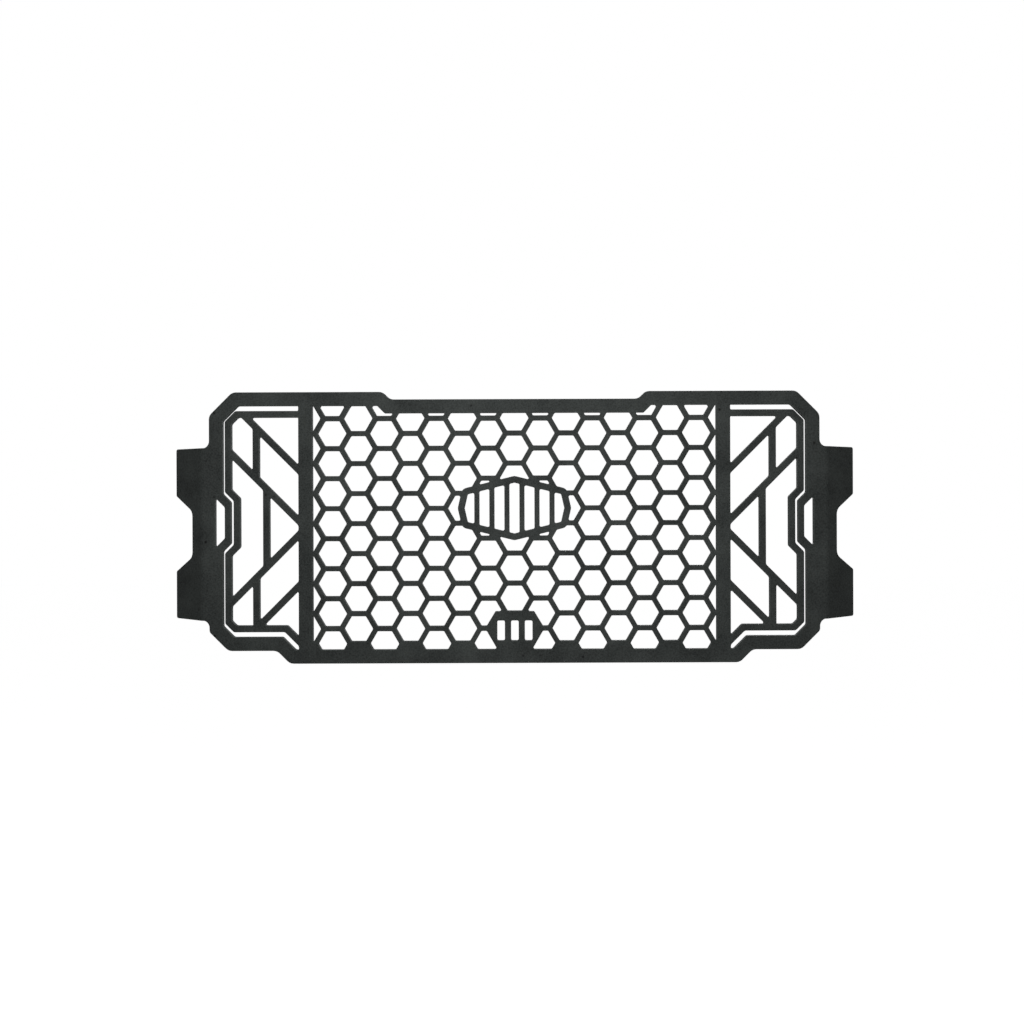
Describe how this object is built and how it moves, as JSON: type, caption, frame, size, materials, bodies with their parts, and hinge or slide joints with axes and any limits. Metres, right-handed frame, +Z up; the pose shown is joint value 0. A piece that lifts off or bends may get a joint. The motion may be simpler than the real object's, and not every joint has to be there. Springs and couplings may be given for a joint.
{
  "type": "motorcycle radiator guard",
  "caption": "Flat black sheet-metal radiator guard with a honeycomb field, open strut panels at both ends and notched side flanges folded back.",
  "frame": {"origin": "middle of the guard's overall box", "axes": "+X along the guard's width, +Z up as it is fitted, +Y back towards the radiator, so the front face looks towards -Y"},
  "size_m": [0.3114, 0.0106, 0.122],
  "materials": {
    "powder_coat": "matte black powder coat over steel sheet"
  },
  "bodies": {
    "root": {"guard": "powder_coat"}
  },
  "joints": []
}
